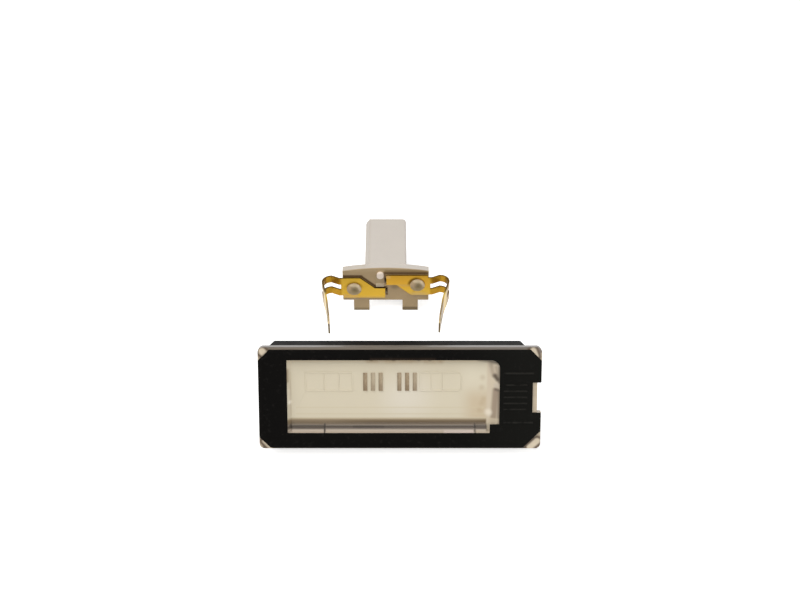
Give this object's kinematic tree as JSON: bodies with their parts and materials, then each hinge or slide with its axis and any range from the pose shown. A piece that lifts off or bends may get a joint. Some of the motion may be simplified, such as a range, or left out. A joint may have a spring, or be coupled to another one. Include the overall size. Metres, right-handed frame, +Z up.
{
  "type": "number plate lamp",
  "caption": "Rectangular number plate lamp with a black-framed lens on a tapered housing, and its bulb holder with slotted brass spring contacts drawn out behind it.",
  "frame": {"origin": "middle of the lamp's bounding box, on the surface that it lies on", "axes": "+X along the lens towards its release notch, +Y from the lens side to the bulb holder, +Z up"},
  "size_m": [0.0896, 0.0944, 0.0329],
  "materials": {
    "lens": "frosted moulding, warm tint",
    "seal_frame": "satin black",
    "housing": "moulded black",
    "reflector": "smooth ivory",
    "spring_clip": "rolled spring steel",
    "holder_body": "smooth grey-white moulding",
    "contact_left": "rolled brass sheet",
    "contact_right": "rolled brass sheet"
  },
  "bodies": {
    "root": {"lens": "lens", "seal_frame": "seal_frame", "housing": "housing", "reflector": "reflector", "spring_clip": "spring_clip", "holder_body": "holder_body", "contact_left": "contact_left", "contact_right": "contact_right"}
  },
  "joints": []
}
